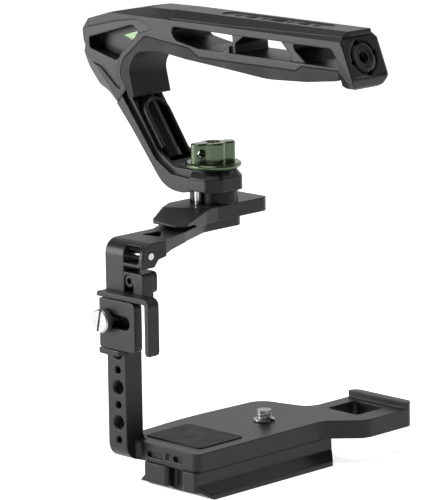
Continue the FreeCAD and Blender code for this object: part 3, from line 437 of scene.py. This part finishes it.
class CAGE_OT_rounded_frame(bpy.types.Operator):
    """Round the lower corners of the handle's rear end"""

    bl_idname = "cage.rounded_frame"
    bl_label = "Handle frame"

    def execute(self, context):
        radius = REAR_CORNER_R
        quarter = math.pi / 2

        def rounded(shape):
            merged_copy(shape, "handle_frame")
            for step in range(1, REAR_CORNER_STEPS + 1):
                height = REAR_BOTTOM + radius * (1 - math.cos(step * quarter / REAR_CORNER_STEPS))
                near = [item for item in shape.verts[:] + shape.edges[:] + shape.faces[:]
                        if max(vert.co.y for vert in getattr(item, "verts", [item])) < REAR_BLOCK_Y]
                bmesh.ops.bisect_plane(shape, geom=near, plane_co=(0, 0, height), plane_no=(0, 0, 1))
            for vert in shape.verts:
                drop = REAR_BOTTOM + radius - vert.co.z
                if vert.co.y < REAR_BLOCK_Y and drop > 0:
                    half = FRAME_HALF_WIDTH - radius + math.sqrt(max(0.0, radius ** 2 - drop ** 2))
                    off = vert.co.x - HANDLE_X
                    vert.co.x = HANDLE_X + max(-half, min(half, off))

        piece = add_piece("rounded_frame", rounded, "Charcoal anodised", "handle")
        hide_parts("handle_frame")
        return {"FINISHED"}


class CAGE_OT_foot_rim(bpy.types.Operator):
    """Put the rim with its cut rear corners round the handle's foot"""

    bl_idname = "cage.foot_rim"
    bl_label = "Rim of the foot"

    def execute(self, context):
        def rim(shape):
            wide = FOOT_HALF_WIDTH
            flat = [(-wide, FOOT_FRONT_Y), (-wide, -FOOT_CORNER_Y), (-FOOT_CORNER_X, -wide),
                    (FOOT_CORNER_X, -wide), (wide, -FOOT_CORNER_Y), (wide, FOOT_FRONT_Y)]
            face = shape.faces.new([shape.verts.new((x, y, FOOT_BOTTOM)) for x, y in flat])
            for height, spread in FOOT_STEPS:
                raised = bmesh.ops.extrude_face_region(shape, geom=[face])["geom"]
                face = next(item for item in raised if isinstance(item, bmesh.types.BMFace))
                bmesh.ops.translate(shape, verts=face.verts, vec=(0, 0, height))
                bmesh.ops.scale(shape, verts=face.verts, vec=(spread, spread, 1))
            bmesh.ops.translate(shape, verts=shape.verts, vec=(HANDLE_X, FOOT_Y, 0))
            upright = [edge for edge in shape.edges if abs(edge.verts[0].co.z - edge.verts[1].co.z) > 1
                       and min(vert.co.y for vert in edge.verts) < FOOT_Y]
            bmesh.ops.bevel(shape, geom=upright, affect="EDGES", offset=FOOT_EDGE_R, segments=4, profile=0.5,
                            material=-1)

        add_piece("foot_rim", rim, "Charcoal anodised", "handle")
        return {"FINISHED"}


class CAGE_OT_neck_rim(bpy.types.Operator):
    """Set the arched rim into the channel of the neck"""

    bl_idname = "cage.neck_rim"
    bl_label = "Rim of the neck"

    def execute(self, context):
        def rim(shape):
            inner = CHANNEL_WIDTH / 2 - RIM_WIDTH
            outer = CHANNEL_WIDTH / 2
            profile = [(inner, -RIM_DEPTH), (outer, -RIM_DEPTH), (outer, 0.0), (outer - RIM_EDGE, RIM_EDGE),
                       (inner + RIM_EDGE, RIM_EDGE), (inner, 0.0)]
            first = shape.faces.new([shape.verts.new((x, out, 0)) for x, out in profile])
            turned = bmesh.ops.spin(shape, geom=[first], cent=(0, 0, 0), axis=(0, -1, 0), angle=math.pi,
                                    steps=24, use_duplicate=False)
            last = next(item for item in turned["geom_last"] if isinstance(item, bmesh.types.BMFace))
            for foot in (first, last):
                leg = bmesh.ops.extrude_face_region(shape, geom=[foot])["geom"]
                bmesh.ops.translate(shape, verts=[v for v in leg if isinstance(v, bmesh.types.BMVert)],
                                    vec=(0, 0, -RIM_LEG))
                bmesh.ops.delete(shape, geom=[foot], context="FACES_ONLY")
            rise = Vector((0, math.sin(NECK_LEAN), math.cos(NECK_LEAN)))
            out = Vector((0, -math.cos(NECK_LEAN), math.sin(NECK_LEAN)))
            turn = Matrix((Vector((-1, 0, 0)), out, rise)).transposed().to_4x4()
            place = Matrix.Translation(NECK_TOP - rise * RIM_CENTRE) @ turn
            bmesh.ops.transform(shape, matrix=place, verts=shape.verts)

        add_piece("neck_rim", rim, "Charcoal anodised", "handle")
        return {"FINISHED"}


class CAGE_OT_bar_threads(bpy.types.Operator):
    """Cut the look of threads into the upright's holes"""

    bl_idname = "cage.bar_threads"
    bl_label = "Threads of the upright"

    def execute(self, context):
        depth = context.scene.cage_threads.depth / MM
        length = BAR_RIGHT_X - BAR_LEFT_X

        def large(shape):
            for height in QUARTER_INCH_HEIGHTS:
                thread(shape, (BAR_LEFT_X + LARGE_THREAD_INSET, BAR_HOLE_Y, height), (1, 0, 0),
                       QUARTER_INCH_TAP_R, -depth, QUARTER_INCH_PITCH, length - 2 * LARGE_THREAD_INSET)

        def small(shape):
            for height in SMALL_HOLE_HEIGHTS:
                thread(shape, (BAR_LEFT_X + SMALL_THREAD_INSET, BAR_HOLE_Y, height), (1, 0, 0),
                       SMALL_HOLE_R, -depth * SMALL_RIDGE_SHARE, SMALL_HOLE_PITCH,
                       length - 2 * SMALL_THREAD_INSET)

        add_piece("bar_quarter_inch_threads", large, "Charcoal anodised", "cage")
        add_piece("bar_small_threads", small, "Charcoal anodised", "cage")
        return {"FINISHED"}


class CAGE_OT_rail_threads(bpy.types.Operator):
    """Cut the look of threads into the holes of the handle's rail"""

    bl_idname = "cage.rail_threads"
    bl_label = "Threads of the rail"

    def execute(self, context):
        depth = context.scene.cage_threads.depth / MM
        length = COVER_TOP - COVER_COUNTERSINK - COVER_BOTTOM

        def threads(shape):
            for y in COVER_QUARTER_INCH_Y:
                thread(shape, (HANDLE_X, y, COVER_BOTTOM), (0, 0, 1), QUARTER_INCH_TAP_R, -depth,
                       RAIL_QUARTER_INCH_PITCH, length)
            thread(shape, (HANDLE_X, COVER_THREE_EIGHTHS_Y, COVER_BOTTOM), (0, 0, 1), THREE_EIGHTHS_TAP_R,
                   -depth, RAIL_THREE_EIGHTHS_PITCH, length)
            for y in COVER_SMALL_Y:
                thread(shape, (HANDLE_X, y, COVER_BOTTOM), (0, 0, 1), SMALL_HOLE_R,
                       -depth * SMALL_RIDGE_SHARE, SMALL_HOLE_PITCH, length)

        add_piece("rail_threads", threads, "Turned steel", "handle")
        return {"FINISHED"}


class CAGE_OT_rear_threads(bpy.types.Operator):
    """Cut the look of a thread into the insert of the handle's rear face"""

    bl_idname = "cage.rear_threads"
    bl_label = "Thread of the rear insert"

    def execute(self, context):
        depth = context.scene.cage_threads.depth / MM
        inward = Vector((0, math.cos(REAR_FACE_LEAN), -math.sin(REAR_FACE_LEAN)))

        def threads(shape):
            thread(shape, REAR_FACE_CENTRE + inward * REAR_THREAD_INSET, inward, QUARTER_INCH_TAP_R, -depth,
                   QUARTER_INCH_PITCH, REAR_THREAD_LENGTH)

        add_piece("rear_insert_thread", threads, "Black oxide", "handle")
        return {"FINISHED"}


class CAGE_OT_camera_screw_thread(bpy.types.Operator):
    """Give the camera screw its thread"""

    bl_idname = "cage.camera_screw_thread"
    bl_label = "Thread of the camera screw"

    def execute(self, context):
        depth = context.scene.cage_threads.depth / MM

        def threads(shape):
            start = CAMERA_SCREW + Vector((0, 0, CAMERA_THREAD_BOTTOM))
            thread(shape, start, (0, 0, 1), CAMERA_THREAD_R, depth * 0.5, QUARTER_INCH_PITCH,
                   CAMERA_THREAD_LENGTH)

        add_piece("camera_screw_thread", threads, "Turned steel", "camera_screw")
        return {"FINISHED"}


class CAGE_OT_tray_screw(bpy.types.Operator):
    """Set the small cap screw into the hole of the tray's left side"""

    bl_idname = "cage.tray_screw"
    bl_label = "Screw of the tray"

    def execute(self, context):
        def screw(shape):
            place = Matrix.Translation(TRAY_SCREW) @ facing((-1, 0, 0))
            bmesh.ops.create_cone(shape, cap_ends=True, segments=32, radius1=TRAY_SCREW_R,
                                  radius2=TRAY_SCREW_R, depth=TRAY_SCREW_LENGTH, matrix=place)
            ends = [face for face in shape.faces if len(face.verts) > 4]
            cap = min(ends, key=lambda face: face.calc_center_median().x)
            bmesh.ops.inset_region(shape, faces=[cap], thickness=TRAY_SCREW_RIM, depth=0.0)
            bmesh.ops.translate(shape, verts=cap.verts, vec=(TRAY_SOCKET_DEPTH, 0, 0))

        add_piece("tray_side_screw", screw, "Black oxide", "cage")
        return {"FINISHED"}


def studio_white():
    """Floor and backdrop: white to the camera and in reflections, with the object's soft shadow kept."""
    material = bpy.data.materials.new("Studio white")
    material.use_nodes = True
    tree = material.node_tree
    tree.nodes.clear()
    output = tree.nodes.new("ShaderNodeOutputMaterial")
    paper = tree.nodes.new("ShaderNodeBsdfDiffuse")
    paper.inputs["Color"].default_value = (PAPER_WHITE, PAPER_WHITE, PAPER_WHITE, 1)
    glow = tree.nodes.new("ShaderNodeEmission")
    glow.inputs["Color"].default_value = (1, 1, 1, 1)
    glow.inputs["Strength"].default_value = PAPER_GLOW
    both = tree.nodes.new("ShaderNodeAddShader")
    plain = tree.nodes.new("ShaderNodeBsdfDiffuse")
    plain.inputs["Color"].default_value = (FLOOR_GREY, FLOOR_GREY, FLOOR_GREY, 1)
    rays = tree.nodes.new("ShaderNodeLightPath")
    seen = tree.nodes.new("ShaderNodeMath")
    seen.operation = "MAXIMUM"
    choice = tree.nodes.new("ShaderNodeMixShader")
    tree.links.new(rays.outputs["Is Camera Ray"], seen.inputs[0])
    tree.links.new(rays.outputs["Is Glossy Ray"], seen.inputs[1])
    clear = tree.nodes.new("ShaderNodeMath")
    clear.operation = "MAXIMUM"
    tree.links.new(seen.outputs[0], clear.inputs[0])
    tree.links.new(rays.outputs["Is Transmission Ray"], clear.inputs[1])
    tree.links.new(clear.outputs[0], choice.inputs["Fac"])
    tree.links.new(plain.outputs[0], choice.inputs[1])
    tree.links.new(paper.outputs[0], both.inputs[0])
    tree.links.new(glow.outputs[0], both.inputs[1])
    tree.links.new(both.outputs[0], choice.inputs[2])
    tree.links.new(choice.outputs[0], output.inputs["Surface"])
    return material


def soft_box(name, place, aim, size, power):
    """Rectangular area lamp aimed at a point; places and size in millimetres, power in watts."""
    light = bpy.data.lights.new(name, "AREA")
    light.shape = "RECTANGLE"
    light.size, light.size_y = size[0] * MM, size[1] * MM
    light.energy = power
    lamp = bpy.data.objects.new(name, light)
    bpy.context.scene.collection.objects.link(lamp)
    lamp.location = Vector(place) * MM
    lamp.rotation_euler = (Vector(aim) - Vector(place)).to_track_quat("-Z", "Y").to_euler()
    return lamp


def dark_flag(place, aim):
    """Black board beside the object, seen only in reflections, which keeps its rear faces dark."""
    board = bmesh.new()
    bmesh.ops.create_grid(board, x_segments=1, y_segments=1, size=FLAG_HALF_SIZE)
    turn = (Vector(aim) - Vector(place)).to_track_quat("Z", "Y").to_matrix().to_4x4()
    bmesh.ops.transform(board, matrix=Matrix.Translation(Vector(place) * MM) @ turn, verts=board.verts)
    mesh = bpy.data.meshes.new("Dark flag")
    board.to_mesh(mesh)
    board.free()
    paint = bpy.data.materials.new("Flag black")
    paint.use_nodes = True
    paint.node_tree.nodes["Principled BSDF"].inputs["Base Color"].default_value = (0.01, 0.01, 0.01, 1)
    mesh.materials.append(paint)
    flag = bpy.data.objects.new("Dark flag", mesh)
    bpy.context.scene.collection.objects.link(flag)
    flag.visible_camera = False
    flag.visible_diffuse = False
    flag.visible_shadow = False
    return flag


def photo_camera():
    """Render camera at the photograph's viewpoint, turned by its azimuth, elevation and roll."""
    azimuth, elevation, roll = (math.radians(a) for a in (CAMERA_AZIMUTH, CAMERA_ELEVATION, CAMERA_ROLL))
    right = Vector((math.cos(azimuth), -math.sin(azimuth), 0))
    up = Vector((math.sin(azimuth) * math.sin(elevation), math.cos(azimuth) * math.sin(elevation),
                 math.cos(elevation)))
    ahead = Vector((math.sin(azimuth) * math.cos(elevation), math.cos(azimuth) * math.cos(elevation),
                    -math.sin(elevation)))
    turned_right = right * math.cos(roll) - up * math.sin(roll)
    turned_up = right * math.sin(roll) + up * math.cos(roll)
    lens = bpy.data.cameras.new("Photo camera")
    lens.sensor_width = 36
    lens.lens = CAMERA_LENS
    lens.clip_start, lens.clip_end = 0.05, 50
    camera = bpy.data.objects.new("Photo camera", lens)
    bpy.context.scene.collection.objects.link(camera)
    turn = Matrix((turned_right, turned_up, -ahead)).transposed().to_4x4()
    camera.matrix_world = Matrix.Translation(CAMERA_PLACE * MM) @ turn
    bpy.context.scene.camera = camera


class CAGE_OT_studio(bpy.types.Operator):
    """Set up the floor, the lamps and the camera"""

    bl_idname = "cage.studio"
    bl_label = "Studio"

    def execute(self, context):
        studio = context.scene.cage_studio
        shape = bmesh.new()
        bmesh.ops.create_grid(shape, x_segments=1, y_segments=1, size=studio.floor_size / 2)
        back = [edge for edge in shape.edges if min(v.co.y for v in edge.verts) > 0]
        risen = bmesh.ops.extrude_edge_only(shape, edges=back)
        bmesh.ops.translate(shape, verts=[v for v in risen["geom"] if isinstance(v, bmesh.types.BMVert)],
                            vec=(0, 0, studio.floor_size / 2))
        bmesh.ops.bevel(shape, geom=back, affect="EDGES", offset=COVE_R, segments=24, profile=0.5,
                        material=-1)
        bmesh.ops.rotate(shape, verts=shape.verts, cent=(0, 0, 0),
                         matrix=Matrix.Rotation(math.radians(-CAMERA_AZIMUTH), 3, "Z"))
        mesh = bpy.data.meshes.new("Floor and backdrop")
        shape.to_mesh(mesh)
        shape.free()
        for polygon in mesh.polygons:
            polygon.use_smooth = True
        mesh.materials.append(studio_white())
        floor = bpy.data.objects.new("Floor and backdrop", mesh)
        context.scene.collection.objects.link(floor)
        lamps = [soft_box(name, place, STUDIO_MIDDLE, size, getattr(studio, power))
                 for name, place, size, power in LAMPS]
        flag = dark_flag(FLAG_PLACE, STUDIO_MIDDLE)
        photo_camera()
        world = bpy.data.worlds.new("Studio air")
        world.use_nodes = True
        background = world.node_tree.nodes["Background"]
        background.inputs["Color"].default_value = (1, 1, 1, 1)
        background.inputs["Strength"].default_value = WORLD_LIGHT
        context.scene.world = world
        context.scene.view_settings.view_transform = "Standard"
        return {"FINISHED"}


class CAGE_PT_panel(bpy.types.Panel):
    """Steps that dress the cage"""

    bl_idname = "CAGE_PT_panel"
    bl_label = "Half cage"
    bl_space_type = "VIEW_3D"
    bl_region_type = "UI"
    bl_category = "Cage"

    def draw(self, context):
        for group in (context.scene.cage_finish, context.scene.cage_threads, context.scene.cage_studio):
            box = self.layout.box()
            for name in group.bl_rna.properties.keys():
                if name not in ("rna_type", "name"):
                    box.prop(group, name)
        for step in STEPS:
            self.layout.operator(step.bl_idname)


STEPS = (
    CAGE_OT_finish_nodes,
    CAGE_OT_grip_skin,
    CAGE_OT_rounded_frame,
    CAGE_OT_foot_rim,
    CAGE_OT_neck_rim,
    CAGE_OT_bar_threads,
    CAGE_OT_rail_threads,
    CAGE_OT_rear_threads,
    CAGE_OT_camera_screw_thread,
    CAGE_OT_tray_screw,
    CAGE_OT_studio,
)
GROUPS = {"cage_finish": CageFinish, "cage_threads": CageThreads, "cage_studio": CageStudio}


def register():
    for group in GROUPS.values():
        bpy.utils.register_class(group)
    for step in STEPS:
        bpy.utils.register_class(step)
    bpy.utils.register_class(CAGE_PT_panel)
    for name, group in GROUPS.items():
        setattr(bpy.types.Scene, name, bpy.props.PointerProperty(type=group))


def unregister():
    for name in GROUPS:
        delattr(bpy.types.Scene, name)
    bpy.utils.unregister_class(CAGE_PT_panel)
    for step in reversed(STEPS):
        bpy.utils.unregister_class(step)
    for group in reversed(list(GROUPS.values())):
        bpy.utils.unregister_class(group)


def main():
    register()
    for step in STEPS:
        operator = getattr(bpy.ops.cage, step.bl_idname.split(".")[1])
        operator()


if __name__ == "__main__":
    main()
